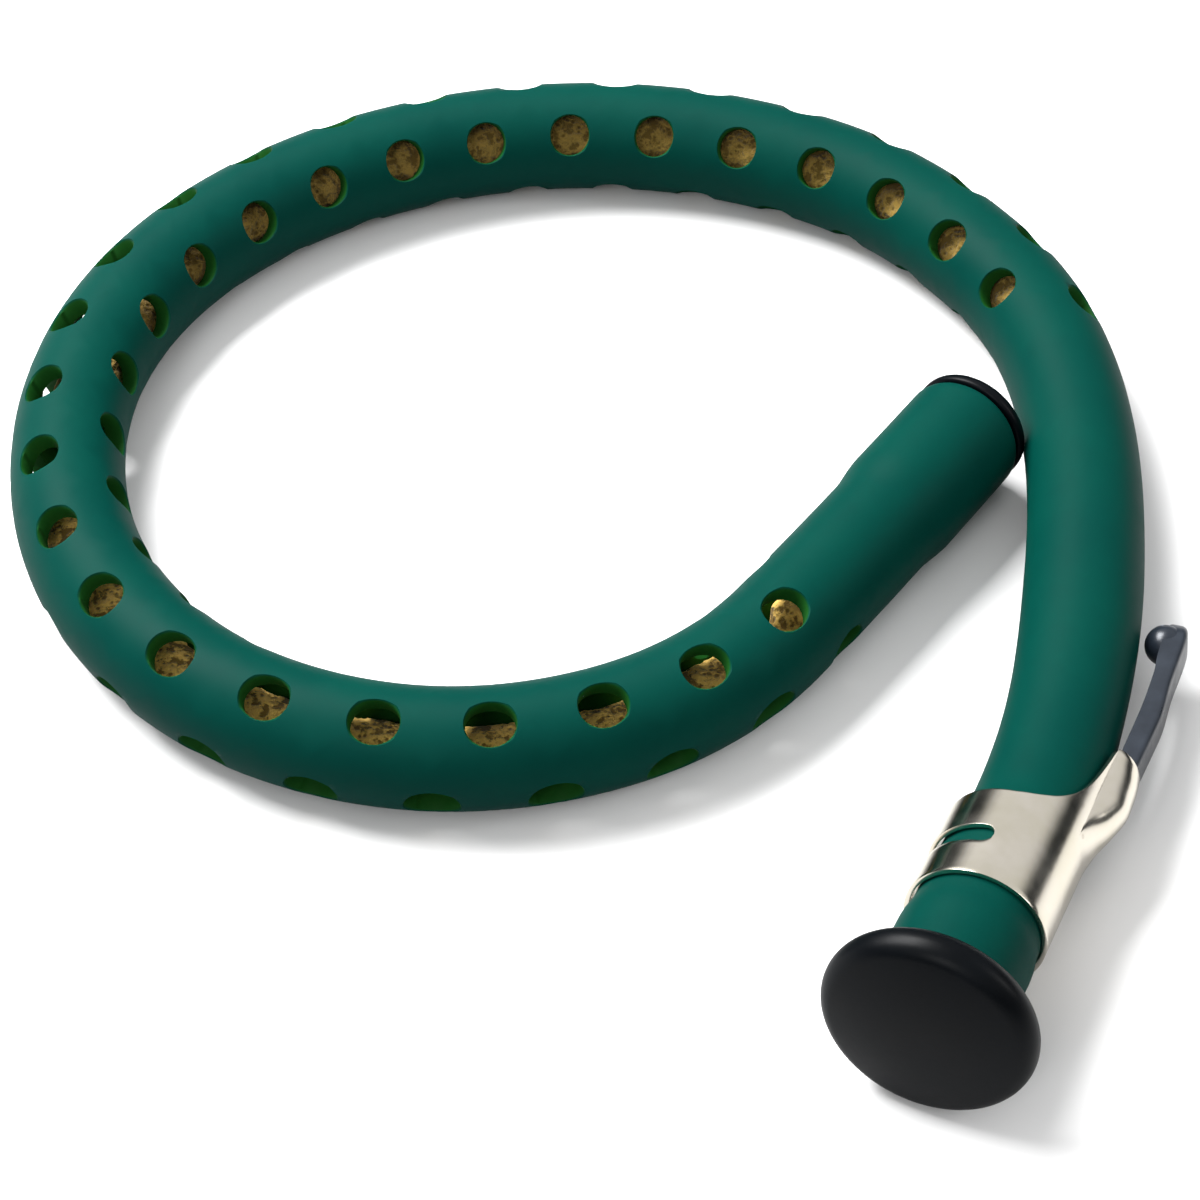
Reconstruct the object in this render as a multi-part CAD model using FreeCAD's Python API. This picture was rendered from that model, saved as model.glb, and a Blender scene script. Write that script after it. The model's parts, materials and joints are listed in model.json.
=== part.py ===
import FreeCAD, Part
import math
import os

from FreeCAD import Vector

# Perforated rubber humidifier tube with a sponge inside, a plug in each end and a sprung clip
# on its neck. It lies on the plane z = 0. Millimetres and degrees.

# ---- Tube ----
TUBE_OD = 9.8
TUBE_WALL = 1.6
RIM_ROUND = 0.7            # rounding of the tube's outer rims
# Points of the tube's route from its tail end to its head end.
ROUTE = [
    (32.44, 11.4, 5.34),
    (21.49, -4.2, 5.25),
    (9.44, -19.1, 4.9),
    (-9.46, -25.1, 4.9),
    (-27.86, -19.6, 4.9),
    (-40.26, -5.1, 4.9),
    (-43.56, 14.4, 4.9),
    (-37.76, 32, 4.9),
    (-24.46, 45.2, 4.9),
    (-6.86, 52, 4.9),
    (11.74, 51.2, 4.9),
    (29.54, 42.4, 4.9),
    (42.94, 20.5, 4.9),
    (38.74, -19.9, 4.9),
    (25.14, -50.9, 7.84),
]
ARC_SHARE = 0.45           # share of the shorter run that each arc takes

# ---- Stretched ends of the tube, over the plugs' stems ----
TAIL_STRETCH_OD = 10.6
TAIL_STRETCH_LENGTH = 7.4
TAIL_TAPER_LENGTH = 3.0
HEAD_STRETCH_OD = 10.4
HEAD_STRETCH_LENGTH = 6.4
HEAD_TAPER_LENGTH = 1.5

# ---- Perforations: four rows, punched through in opposite pairs ----
HOLE_DIAMETER = 3.8
HOLE_PITCH = 8.37
HOLES_PER_ROW = 25
FIRST_HOLE_STATION = 30.1  # from the tail end, along the tube
# Angle of the first row above the loop's outer side, at its first, middle and last hole.
ROW_ANGLES = (72.6, 60.1, 43.4)

# ---- Sponge core ----
SPONGE_GAP = 0.3           # to the bore, all round
SPONGE_END_GAP = 0.4       # to each plug's stem

# ---- Plugs ----
STEM_GAP = 0.03            # between a stem and the stretched bore
STEM_CHAMFER = 0.5
HEAD_STEM_LENGTH = 7.0
HEAD_DIAMETER = 16.0
HEAD_RIM_RADIUS = 1.6
HEAD_RIM_SWEEP = 75.0      # angle where the rim's round meets the crown
HEAD_CROWN = 0.85          # height of the crown above the rim's round
HEAD_FLAT_DIAMETER = 6.0   # flat middle of the crown
TAIL_STEM_LENGTH = 7.0
TAIL_CAP_DIAMETER = 9.2
TAIL_CAP_HEIGHT = 1.7
TAIL_CAP_EDGE = 0.4        # straight edge under the tail cap's dome
TAIL_CAP_FLAT = 1.6        # flat middle of the dome

# ---- Clip: heights are measured from the head end, up the neck of the tube ----
CLIP_ANGLE = 8.0           # of the arm above the loop's outer side
BAND_GAP = 0.1             # between the tube and the band
BAND_WALL = 0.4
BAND_BOTTOM = 8.2
BAND_HEIGHT = 9.1
SLOT_WIDTH = 1.8
SLOT_HEIGHT = 12.4
SLOT_HALF_ANGLE = 92.0     # each way from the side opposite the arm

ARM_WIDTH = 2.8
ARM_METAL = 0.4            # metal thickness of the arm
ARM_DEPTH = 1.35            # depth of the arm's channel section
ARM_ROOT = (24.0, 6.0)     # back of the arm at its root: height, distance from the neck's axis
ARM_END = (44.0, 5.7)     # back of the arm over the ball
ARM_TAIL_LENGTH = 2.5      # tongue of the arm behind the pivot
ARM_TAIL_RISE = 0.4        # how far the tongue's end bends towards the hood's roof

BALL_DIAMETER = 2.8
BALL_PLACE = (42.6, 3.75)
BALL_GAP = 0.03
CUP_METAL = 0.35
CUP_WRAP = 0.4             # how far the cup reaches past the ball's middle

PIVOT_PLACE = (26.9, 5.3)
PIN_DIAMETER = 0.7
PIN_GAP = 0.05
PIN_SOCKET = 0.25          # depth of each blind socket in the hood's cheeks
PIN_END_GAP = 0.03

HOOD_WALL = 0.4
HOOD_SIDE_GAP = 0.15
HOOD_MOUTH_TOP = (27.5, 6.6)
HOOD_MOUTH_FOOT = (28.3, 3.8)
HOOD_PEAK = (23.2, 7.0)
HOOD_SHOULDER = (21.4, 6.5)
HOOD_START = (19.2, 5.4)
FLOOR_END = 25.4           # end of the tongue that closes the hood towards the tube

SPRING_THICKNESS = 0.15
SPRING_WIDTH = 1.6
SPRING_START = 20.9
SPRING_END = 24.9
SPRING_RISE = 0.05

# ---- Derived sizes ----
TUBE_RADIUS = TUBE_OD / 2
BORE_RADIUS = TUBE_RADIUS - TUBE_WALL
RING_AREA = TUBE_RADIUS ** 2 - BORE_RADIUS ** 2
BAND_INNER = TUBE_RADIUS + BAND_GAP
BAND_OUTER = BAND_INNER + BAND_WALL
BAND_TOP = BAND_BOTTOM + BAND_HEIGHT
HOOD_HALF_INNER = ARM_WIDTH / 2 + HOOD_SIDE_GAP
HOOD_HALF_OUTER = HOOD_HALF_INNER + HOOD_WALL
BALL_RADIUS = BALL_DIAMETER / 2
UP = Vector(0, 0, 1)


def stretched_bore(outer_diameter):
    """Radius of the bore where the rubber is stretched, with its section area kept."""
    return math.sqrt((outer_diameter / 2) ** 2 - RING_AREA)


# ---- Route ----
def route_edges():
    """Straight runs joined by tangent arcs, and the arcs' radii."""
    points = [Vector(*p) for p in ROUTE]
    edges = []
    radii = []
    start = points[0]
    for before, corner, after in zip(points, points[1:], points[2:]):
        back = before - corner
        ahead = after - corner
        shorter = min(back.Length, ahead.Length)
        back.normalize()
        ahead.normalize()
        half_turn = (math.pi - back.getAngle(ahead)) / 2
        tangent = ARC_SHARE * shorter
        radius = tangent / math.tan(half_turn)
        inward = (back + ahead).normalize()
        middle = corner + inward * (radius / math.cos(half_turn) - radius)
        arc_start = corner + back * tangent
        arc_end = corner + ahead * tangent
        edges.append(Part.LineSegment(start, arc_start).toShape())
        edges.append(Part.Arc(arc_start, middle, arc_end).toShape())
        radii.append(radius)
        start = arc_end
    edges.append(Part.LineSegment(start, points[-1]).toShape())
    return edges, radii


EDGES, RADII = route_edges()
LENGTH = sum(edge.Length for edge in EDGES)


def at_station(station):
    """Point and direction of the route at a length from its tail end."""
    left = station
    for edge in EDGES:
        if left <= edge.Length or edge is EDGES[-1]:
            at_end = left >= edge.Length - 1e-6
            parameter = edge.LastParameter if at_end else edge.getParameterByLength(left)
            return edge.valueAt(parameter), edge.tangentAt(parameter)
        left -= edge.Length


def route_between(low, high):
    """Wire along the route from one station to another on its first and last runs."""
    first = Part.LineSegment(at_station(low)[0], EDGES[0].valueAt(EDGES[0].LastParameter)).toShape()
    last = Part.LineSegment(EDGES[-1].valueAt(EDGES[-1].FirstParameter), at_station(high)[0]).toShape()
    return Part.Wire([first] + EDGES[1:-1] + [last])


def swept_rod(radius, low, high):
    """Round rod along the route."""
    point, direction = at_station(low)
    ring = Part.Wire([Part.makeCircle(radius, point, direction)])
    return route_between(low, high).makePipeShell([ring], True, True)


def local_frame(origin, axis, side):
    """Placement with its Z along axis and its X along side."""
    across = axis.cross(side)
    matrix = FreeCAD.Matrix(side.x, across.x, axis.x, origin.x,
                            side.y, across.y, axis.y, origin.y,
                            side.z, across.z, axis.z, origin.z,
                            0, 0, 0, 1)
    return FreeCAD.Placement(matrix)


def end_frame(station, inward):
    """Placement at one end of the tube, with Z pointing into the tube."""
    point, direction = at_station(station)
    axis = direction * inward
    side = UP.cross(direction).normalize()
    return local_frame(point, axis, side)


TAIL_FRAME = end_frame(0, 1)
HEAD_FRAME = end_frame(LENGTH, -1)


def clip_frame():
    """Placement on the neck, with X towards the clip's arm and Z up the neck."""
    point, direction = at_station(LENGTH)
    outward = UP.cross(direction).normalize()
    upward = direction.cross(outward)
    angle = math.radians(CLIP_ANGLE)
    side = outward * math.cos(angle) + upward * math.sin(angle)
    return local_frame(point, direction * -1, side)


CLIP_FRAME = clip_frame()


def placed(shape, placement):
    """The shape moved from local coordinates to its place."""
    shape.Placement = placement
    return shape


def revolved(edges):
    """Solid turned about the local Z axis from a closed profile in the XZ plane."""
    face = Part.Face(Part.Wire(edges))
    return face.revolve(Vector(0, 0, 0), Vector(0, 0, 1), 360)


def lines(*points):
    """Straight edges through (radius, height) points."""
    corners = [Vector(r, 0, z) for r, z in points]
    return [Part.LineSegment(a, b).toShape() for a, b in zip(corners, corners[1:])]


def arc(start, middle, end):
    """Arc through three (radius, height) points."""
    return Part.Arc(*[Vector(r, 0, z) for r, z in (start, middle, end)]).toShape()


def prism(points, half_width):
    """Plate from a closed (height, distance) outline, extruded across the clip."""
    corners = [Vector(rho, -half_width, t) for t, rho in points]
    face = Part.Face(Part.makePolygon(corners + corners[:1]))
    return face.extrude(Vector(0, 2 * half_width, 0))


# ---- Pieces ----
def stretched_end(outer_diameter, stretch, taper):
    """End of the tube, swollen over a plug's stem, with a rounded rim."""
    outer = outer_diameter / 2
    inner = stretched_bore(outer_diameter)
    end = stretch + taper
    rounding = RIM_ROUND * math.sqrt(0.5)
    rim = arc((outer - RIM_ROUND, 0), (outer - RIM_ROUND + rounding, RIM_ROUND - rounding),
              (outer, RIM_ROUND))
    body = lines((outer, RIM_ROUND), (outer, stretch), (TUBE_RADIUS, end), (BORE_RADIUS, end),
                 (inner, stretch), (inner, 0), (outer - RIM_ROUND, 0))
    return revolved([rim] + body)


def perforated_tube():
    tail_end = TAIL_STRETCH_LENGTH + TAIL_TAPER_LENGTH
    head_end = LENGTH - HEAD_STRETCH_LENGTH - HEAD_TAPER_LENGTH
    tube = swept_rod(TUBE_RADIUS, tail_end, head_end).cut(swept_rod(BORE_RADIUS, tail_end, head_end))
    section = math.pi * RING_AREA
    print("plain tube volume %.1f, section x length %.1f" % (tube.Volume, section * (head_end - tail_end)))
    tail = stretched_end(TAIL_STRETCH_OD, TAIL_STRETCH_LENGTH, TAIL_TAPER_LENGTH)
    head = stretched_end(HEAD_STRETCH_OD, HEAD_STRETCH_LENGTH, HEAD_TAPER_LENGTH)
    tube = tube.fuse([placed(tail, TAIL_FRAME), placed(head, HEAD_FRAME)]).removeSplitter()
    return tube.cut(perforations())


def row_angle(index):
    """Angle of the first row at a hole's index, on a smooth curve through its three angles."""
    first, middle, last = ROW_ANGLES
    half = (HOLES_PER_ROW - 1) / 2
    x = (index - half) / half
    return middle + (last - first) / 2 * x + ((last + first) / 2 - middle) * x * x


def perforations():
    """Cylinders right through the tube, each cutting two opposite holes."""
    drills = []
    for index in range(HOLES_PER_ROW):
        for shift, turn in ((0, 0), (-0.5, 90)):
            place = index + shift
            point, direction = at_station(FIRST_HOLE_STATION + place * HOLE_PITCH)
            outward = UP.cross(direction).normalize()
            upward = direction.cross(outward)
            angle = math.radians(row_angle(place) + turn)
            way = outward * math.cos(angle) + upward * math.sin(angle)
            drills.append(Part.makeCylinder(HOLE_DIAMETER / 2, 2 * TUBE_OD, point - way * TUBE_OD, way))
    return drills


def sponge_core():
    low = TAIL_STEM_LENGTH + SPONGE_END_GAP
    high = LENGTH - HEAD_STEM_LENGTH - SPONGE_END_GAP
    return swept_rod(BORE_RADIUS - SPONGE_GAP, low, high)


def stem_profile(radius, length):
    """Outline points of a plug's stem, from its tip to the tube's end face."""
    return ((0, length), (radius - STEM_CHAMFER, length), (radius, length - STEM_CHAMFER), (radius, 0))


def head_plug():
    """Mushroom head on a stem: local Z points into the tube, so the head has negative heights."""
    stem_radius = stretched_bore(HEAD_STRETCH_OD) - STEM_GAP
    centre = HEAD_DIAMETER / 2 - HEAD_RIM_RADIUS
    rim = HEAD_RIM_RADIUS
    sweep = math.radians(HEAD_RIM_SWEEP)
    rim_end = (centre + rim * math.cos(sweep), -rim - rim * math.sin(sweep))
    flat = HEAD_FLAT_DIAMETER / 2
    face = rim_end[1] - HEAD_CROWN
    bulge = (flat + (rim_end[0] - flat) * 0.55, face + HEAD_CROWN * 0.3)
    edges = lines(*stem_profile(stem_radius, HEAD_STEM_LENGTH), (centre, 0))
    edges.append(arc((centre, 0), (centre + rim, -rim), rim_end))
    edges.append(arc(rim_end, bulge, (flat, face)))
    edges += lines((flat, face), (0, face), (0, HEAD_STEM_LENGTH))
    return placed(revolved(edges), HEAD_FRAME)


def tail_plug():
    """Shallow domed cap on a stem that stretches the tube."""
    stem_radius = stretched_bore(TAIL_STRETCH_OD) - STEM_GAP
    cap = TAIL_CAP_DIAMETER / 2
    middle = (cap * 0.72, -TAIL_CAP_EDGE - (TAIL_CAP_HEIGHT - TAIL_CAP_EDGE) * 0.62)
    edges = lines(*stem_profile(stem_radius, TAIL_STEM_LENGTH), (cap, 0), (cap, -TAIL_CAP_EDGE))
    flat = TAIL_CAP_FLAT / 2
    edges.append(arc((cap, -TAIL_CAP_EDGE), middle, (flat, -TAIL_CAP_HEIGHT)))
    edges += lines((flat, -TAIL_CAP_HEIGHT), (0, -TAIL_CAP_HEIGHT), (0, TAIL_STEM_LENGTH))
    return placed(revolved(edges), TAIL_FRAME)


def pipe(outer, inner, low, high):
    """Round shell about the local Z axis."""
    return Part.makeCylinder(outer, high - low, Vector(0, 0, low)).cut(
        Part.makeCylinder(inner, high - low, Vector(0, 0, low)))


def band_skirt():
    """Upper edge of the band, sweeping up to the hood on both sides."""
    shell = pipe(BAND_OUTER, BAND_INNER, BAND_TOP - 0.5, FLOOR_END)
    half = HOOD_HALF_OUTER
    edge = BAND_OUTER
    start = Vector(0, edge, BAND_TOP)
    middle = Vector(0, half + (edge - half) * 0.35, BAND_TOP + (FLOOR_END - BAND_TOP) * 0.39)
    end = Vector(0, half, FLOOR_END)
    mirror = [Vector(p.x, -p.y, p.z) for p in (start, middle, end)]
    outline = [
        Part.Arc(start, middle, end).toShape(),
        Part.LineSegment(end, mirror[2]).toShape(),
        Part.Arc(mirror[2], mirror[1], mirror[0]).toShape(),
        Part.LineSegment(mirror[0], mirror[0] - Vector(0, 0, 0.5)).toShape(),
        Part.LineSegment(mirror[0] - Vector(0, 0, 0.5), start - Vector(0, 0, 0.5)).toShape(),
        Part.LineSegment(start - Vector(0, 0, 0.5), start).toShape(),
    ]
    return Part.Face(Part.Wire(outline)).extrude(Vector(2 * edge, 0, 0)).common(shell)


def slot_cutter():
    """Curved slot with rounded ends on the side of the band that faces away from the arm."""
    depth = 2 * BAND_OUTER
    low = SLOT_HEIGHT - SLOT_WIDTH / 2
    sweep = 2 * SLOT_HALF_ANGLE
    ring = Part.makeCylinder(depth, SLOT_WIDTH, Vector(0, 0, low), Vector(0, 0, 1), sweep)
    ring.rotate(Vector(0, 0, 0), Vector(0, 0, 1), 180 - SLOT_HALF_ANGLE)
    cutter = ring
    for side in (-1, 1):
        angle = math.radians(180 + side * SLOT_HALF_ANGLE)
        way = Vector(math.cos(angle), math.sin(angle), 0)
        end = Part.makeCylinder(SLOT_WIDTH / 2, depth, Vector(0, 0, SLOT_HEIGHT), way)
        cutter = cutter.fuse(end)
    return cutter


def clip_band():
    """Split-look band with a hood that holds the arm's pivot and spring."""
    ring = pipe(BAND_OUTER, BAND_INNER, BAND_BOTTOM, BAND_TOP).cut(slot_cutter())
    foot = 3.0
    hood = prism([(HOOD_START[0], foot), HOOD_START, HOOD_SHOULDER, HOOD_PEAK, HOOD_MOUTH_TOP,
                  HOOD_MOUTH_FOOT, (HOOD_MOUTH_FOOT[0], foot)], HOOD_HALF_OUTER)
    wall = HOOD_WALL
    cavity = prism([(HOOD_START[0] + 2 * wall, foot), (HOOD_START[0] + 2 * wall, HOOD_START[1]),
                    (HOOD_SHOULDER[0] + wall / 2, HOOD_SHOULDER[1] - wall),
                    (HOOD_PEAK[0], HOOD_PEAK[1] - wall),
                    (HOOD_MOUTH_TOP[0] + 1, HOOD_MOUTH_TOP[1] - wall - 0.1),
                    (HOOD_MOUTH_FOOT[0] + 1, foot)], HOOD_HALF_INNER)
    floor = pipe(BAND_OUTER, BAND_INNER, HOOD_START[0], FLOOR_END).common(
        prism([(HOOD_START[0], foot), (HOOD_START[0], 2 * BAND_OUTER), (FLOOR_END, 2 * BAND_OUTER),
               (FLOOR_END, foot)], HOOD_HALF_OUTER))
    shell = hood.cut(cavity).fuse([floor, band_skirt()])
    shell = shell.cut(Part.makeCylinder(BAND_INNER, 2 * FLOOR_END))
    band = ring.fuse(shell)
    sockets = cross_cylinder(PIN_DIAMETER / 2, 2 * (HOOD_HALF_INNER + PIN_SOCKET))
    return placed(band.cut(sockets).removeSplitter(), CLIP_FRAME)


def cross_cylinder(radius, length):
    """Cylinder across the clip, centred on the pivot."""
    start = Vector(PIVOT_PLACE[1], -length / 2, PIVOT_PLACE[0])
    return Part.makeCylinder(radius, length, start, Vector(0, 1, 0))


def arm_back(height):
    """Distance of the arm's back from the neck's axis at a height."""
    (low, near), (high, far) = ARM_ROOT, ARM_END
    return near + (far - near) * (height - low) / (high - low)


def clip_arm():
    """Channel arm: a web with two cheeks, a tongue behind the pivot and a cup for the ball."""
    pivot, depth = PIVOT_PLACE
    tail = pivot - ARM_TAIL_LENGTH
    end = BALL_PLACE[0]
    ear = depth - (arm_back(pivot) - ARM_DEPTH)
    blade = prism([(pivot, arm_back(pivot)), (end, arm_back(end)), (end, arm_back(end) - ARM_DEPTH),
                   (pivot, arm_back(pivot) - ARM_DEPTH)], ARM_WIDTH / 2)
    blade = blade.fuse(cross_cylinder(ear, ARM_WIDTH))
    channel = prism([(pivot - 2 * ear, arm_back(pivot) - ARM_METAL), (end, arm_back(end) - ARM_METAL),
                     (end, 0), (pivot - 2 * ear, 0)], ARM_WIDTH / 2 - ARM_METAL)
    back = arm_back(pivot)
    raised = back + ARM_TAIL_RISE
    tongue = prism([(tail, raised), (pivot, back), (pivot, back - ARM_METAL), (tail, raised - ARM_METAL)],
                   ARM_WIDTH / 2)
    centre = Vector(BALL_PLACE[1], 0, BALL_PLACE[0])
    cup = Part.makeSphere(BALL_RADIUS + BALL_GAP + CUP_METAL, centre)
    open_side = Part.makeBox(BALL_DIAMETER, 2 * BALL_DIAMETER, 2 * BALL_DIAMETER,
                             centre - Vector(BALL_DIAMETER + CUP_WRAP, BALL_DIAMETER, BALL_DIAMETER))
    arm = blade.cut(channel).fuse([tongue, cup.cut(open_side)])
    arm = arm.cut(Part.makeSphere(BALL_RADIUS + BALL_GAP, centre))
    arm = arm.cut(cross_cylinder(PIN_DIAMETER / 2 + PIN_GAP, 2 * ARM_WIDTH))
    return placed(arm.removeSplitter(), CLIP_FRAME)


def grip_ball():
    ball = Part.makeSphere(BALL_RADIUS, Vector(BALL_PLACE[1], 0, BALL_PLACE[0]))
    return placed(ball, CLIP_FRAME)


def pivot_pin():
    """Short pin hidden in the hood, its ends in the blind sockets."""
    length = 2 * (HOOD_HALF_INNER + PIN_SOCKET - PIN_END_GAP)
    return placed(cross_cylinder(PIN_DIAMETER / 2, length), CLIP_FRAME)


def leaf_spring():
    """Bent strip between the hood's floor and the arm's tongue, in its pressed shape."""
    low = BAND_OUTER
    top = low + SPRING_THICKNESS
    bend = SPRING_START + (SPRING_END - SPRING_START) * 0.4
    outline = [(SPRING_START, low), (bend, low), (SPRING_END, low + SPRING_RISE),
               (SPRING_END, top + SPRING_RISE), (bend, top), (SPRING_START, top)]
    return placed(prism(outline, SPRING_WIDTH / 2), CLIP_FRAME)


PIECES = {
    "perforated_tube": perforated_tube,
    "sponge_core": sponge_core,
    "head_plug": head_plug,
    "tail_plug": tail_plug,
    "clip_band": clip_band,
    "clip_arm": clip_arm,
    "grip_ball": grip_ball,
    "pivot_pin": pivot_pin,
    "leaf_spring": leaf_spring,
}

os.makedirs("parts", exist_ok=True)
print("route length %.1f, arc radii %s" % (LENGTH, " ".join("%.1f" % r for r in RADII)))
for name, build in PIECES.items():
    shape = build()
    for solid in shape.Solids:
        if not solid.isValid():
            print("invalid solid in", name)
    print("%-16s solids %d volume %.2f" % (name, len(shape.Solids), shape.Volume))
    shape.exportStep("parts/%s.step" % name)
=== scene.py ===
import json
import math

import bmesh
import bpy
from bpy.props import FloatProperty, FloatVectorProperty, IntProperty, PointerProperty
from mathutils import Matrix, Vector, noise


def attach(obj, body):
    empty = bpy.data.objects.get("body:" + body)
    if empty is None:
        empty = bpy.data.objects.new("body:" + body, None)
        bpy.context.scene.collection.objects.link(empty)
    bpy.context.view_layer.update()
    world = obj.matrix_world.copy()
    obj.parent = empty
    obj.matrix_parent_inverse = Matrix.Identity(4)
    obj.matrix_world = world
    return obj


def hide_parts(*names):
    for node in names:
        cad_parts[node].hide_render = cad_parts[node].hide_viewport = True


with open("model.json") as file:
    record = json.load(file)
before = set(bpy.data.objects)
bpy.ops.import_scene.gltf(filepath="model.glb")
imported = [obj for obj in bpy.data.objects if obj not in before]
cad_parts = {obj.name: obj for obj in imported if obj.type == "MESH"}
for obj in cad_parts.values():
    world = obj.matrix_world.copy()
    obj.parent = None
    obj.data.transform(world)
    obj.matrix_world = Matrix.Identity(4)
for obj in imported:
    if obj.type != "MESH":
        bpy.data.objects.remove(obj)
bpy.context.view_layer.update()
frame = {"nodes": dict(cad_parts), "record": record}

bl_info = {
    "name": "Tube Humidifier Builder",
    "version": (1, 0, 0),
    "blender": (4, 5, 0),
    "location": "3D View > Sidebar > Humidifier",
    "description": "Makes a perforated rubber tube with a sponge, two plugs and a sprung clip",
    "category": "Add Mesh",
}

MM = 0.001

# Centre line of the tube from its tail end to its head end, in metres. The last point but one
# keeps the neck straight under the clip.
ROUTE = [
    (0.03244, 0.0114, 0.00534),
    (0.0216, -0.0043, 0.00525),
    (0.0097, -0.0198, 0.0049),
    (-0.0096, -0.0257, 0.0049),
    (-0.0283, -0.0201, 0.0049),
    (-0.0407, -0.0053, 0.0049),
    (-0.0439, 0.0144, 0.0049),
    (-0.0382, 0.0322, 0.0049),
    (-0.0248, 0.0456, 0.0049),
    (-0.0069, 0.0524, 0.0049),
    (0.0119, 0.0516, 0.0049),
    (0.0299, 0.0427, 0.0049),
    (0.0433, 0.0206, 0.0049),
    (0.039, -0.0201, 0.0049),
    (0.02658, -0.04762, 0.00753),
    (0.02514, -0.0509, 0.00784),
]

JOINTS = {joint["name"]: joint for joint in frame["record"]["behaviour"]["joints"]}
HEAD_END = Vector(JOINTS["clip_swivel"]["pos_m"])
NECK = Vector(JOINTS["clip_swivel"]["axis"]).normalized()
ACROSS = Vector(JOINTS["arm_hinge"]["axis"]).normalized()
ARM_SIDE = ACROSS.cross(NECK).normalized()


# ---- Settings ----
def size(name, description, default, low, high):
    """Length setting, in metres."""
    return FloatProperty(name=name, description=description, default=default, min=low, max=high,
                         unit="LENGTH", precision=5)


def tint(name, description, default):
    """Colour setting."""
    return FloatVectorProperty(name=name, description=description, default=default, size=3,
                               min=0.0, max=1.0, subtype="COLOR")


class HumidifierTubeSettings(bpy.types.PropertyGroup):
    """Sizes and colours of the perforated rubber tube"""

    diameter: size("Diameter", "Outer diameter of the relaxed tube", 9.8 * MM, 0.004, 0.03)
    wall: size("Wall", "Thickness of the rubber", 1.6 * MM, 0.0005, 0.004)
    oval: FloatProperty(
        name="Flattening", description="How much narrower the bent tube is across the loop",
        default=0.035, min=0.0, max=0.2, subtype="FACTOR")
    tail_diameter: size("Tail diameter", "Diameter where the tail plug stretches the tube", 10.55 * MM, 0.004, 0.03)
    head_diameter: size("Head diameter", "Diameter where the mushroom plug stretches the tube", 10.35 * MM, 0.004, 0.03)
    waist_diameter: size("Waist diameter", "Diameter of the pinched stretch above the clip's band",
                         9.1 * MM, 0.004, 0.03)
    hole_diameter: size("Hole diameter", "Diameter of each perforation", 3.8 * MM, 0.001, 0.008)
    hole_pitch: size("Hole pitch", "Distance between neighbouring holes of one row", 8.37 * MM, 0.004, 0.02)
    first_hole: size("First hole", "Station of the first hole, from the tail end", 30.0 * MM, 0.01, 0.1)
    holes_per_row: IntProperty(
        name="Holes per row", description="Number of holes in each of the four rows",
        default=25, min=2, max=30)
    row_angles: FloatVectorProperty(
        name="Row angles", description="Angle of the first row at its first, middle and last hole",
        default=(math.radians(72.6), math.radians(60.1), math.radians(43.4)),
        size=3, subtype="EULER")
    rim: size("Hole rim", "Rounding of the holes' outer edges", 0.22 * MM, 0.0, 0.001)
    end_rim: size("End rim", "Rounding of the tube's two ends", 1.3 * MM, 0.0, 0.0016)
    colour: tint("Colour", "Colour of the rubber", (0.0, 0.0435, 0.0325))
    deep_colour: tint("Deep colour", "Darker tone in the rubber's cloudy variation", (0.0, 0.0345, 0.0275))
    # Painted glow: a brighter yellow-green for the hole walls and the tube's inside, standing in for light shining
    # through the rubber.
    cut_glow_colour: tint("Cut colour", "Colour of the punched walls, where light comes through", (0.008, 0.062, 0.009))


class HumidifierSpongeSettings(bpy.types.PropertyGroup):
    """Size and colours of the sponge core"""

    diameter: size("Diameter", "Width of the sponge core", 5.5 * MM, 0.001, 0.02)
    thickness: FloatProperty(
        name="Top share", description="How high the upper half of the sponge stands",
        default=0.62, min=0.1, max=1.0, subtype="FACTOR")
    drop: size("Drop", "How far the sponge lies below the tube's centre line", 0.75 * MM, 0.0, 0.003)
    colour: tint("Colour", "Light tone of the sponge", (0.88, 0.56, 0.13))
    # Painted shade: the deep colour darkens the sponge's pits, standing in for the shade in its pores.
    deep_colour: tint("Deep colour", "Tone in the sponge's pores", (0.22, 0.13, 0.022))


class HumidifierPlugSettings(bpy.types.PropertyGroup):
    """Sizes and colour of the two black plugs"""

    head_diameter: size("Head diameter", "Diameter of the mushroom head", 16.0 * MM, 0.005, 0.05)
    head_rim: size("Head rim", "Radius of the mushroom head's rounded rim", 1.6 * MM, 0.0003, 0.003)
    head_crown: size("Head crown", "Height of the crown above the rim", 0.85 * MM, 0.0, 0.003)
    tail_diameter: size("Tail cap diameter", "Diameter of the tail cap", 10.1 * MM, 0.002, 0.03)
    tail_height: size("Tail cap height", "Height of the tail cap's dome", 1.9 * MM, 0.0002, 0.005)
    colour: tint("Colour", "Colour of the plugs", (0.0006, 0.0011, 0.0018))


class HumidifierClipSettings(bpy.types.PropertyGroup):
    """Sizes and colours of the clip"""

    band_radius: size("Band radius", "Outer radius of the band", 5.4 * MM, 0.003, 0.02)
    band_metal: size("Band metal", "Thickness of the band's sheet", 0.36 * MM, 0.0001, 0.001)
    band_bottom: size("Band bottom", "Height of the band's lower rim above the tube's end", 8.2 * MM, 0.0, 0.03)
    slot_height: size("Slot height", "Height of the slot's middle above the tube's end", 12.4 * MM, 0.0, 0.03)
    slot_width: size("Slot width", "Width of the band's slot", 1.8 * MM, 0.0001, 0.005)
    arm_width: size("Arm width", "Width of the arm", 2.8 * MM, 0.001, 0.006)
    plate_colour: tint("Plate colour", "Colour of the band's bright plate", (0.80, 0.745, 0.665))
    arm_colour: tint("Arm colour", "Colour of the blackened arm", (0.011, 0.015, 0.022))


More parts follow.
